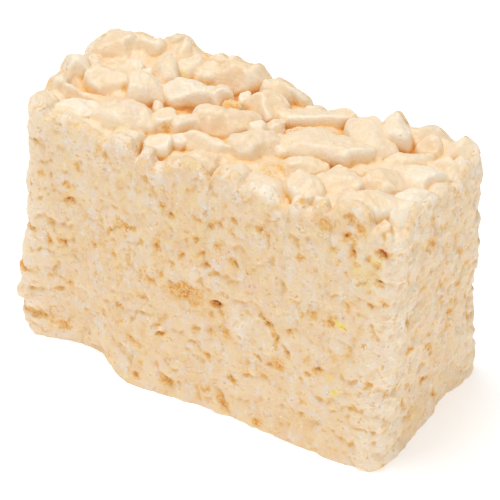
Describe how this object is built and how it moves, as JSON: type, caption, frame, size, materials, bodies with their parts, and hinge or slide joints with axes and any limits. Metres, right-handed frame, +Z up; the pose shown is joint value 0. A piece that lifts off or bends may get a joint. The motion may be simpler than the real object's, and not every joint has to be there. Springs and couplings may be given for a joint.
{
  "type": "rice crispy treat",
  "caption": "Upright block of puffed rice grains bound with marshmallow: flush cut sides, a lumpy top of whole coated grains, and a flat base.",
  "frame": {"origin": "middle of the flat base", "axes": "+X along the block's length, towards the right-hand end as seen from the long front; -Y out of the long front; +Z up, out of the lumpy top"},
  "size_m": [0.0588, 0.0274, 0.0389],
  "materials": {
    "coated_puffed_rice": "soft satin cream, puffed rice under a thin marshmallow coat"
  },
  "bodies": {
    "root": {"rice_crispy_treat": "coated_puffed_rice"}
  },
  "joints": []
}
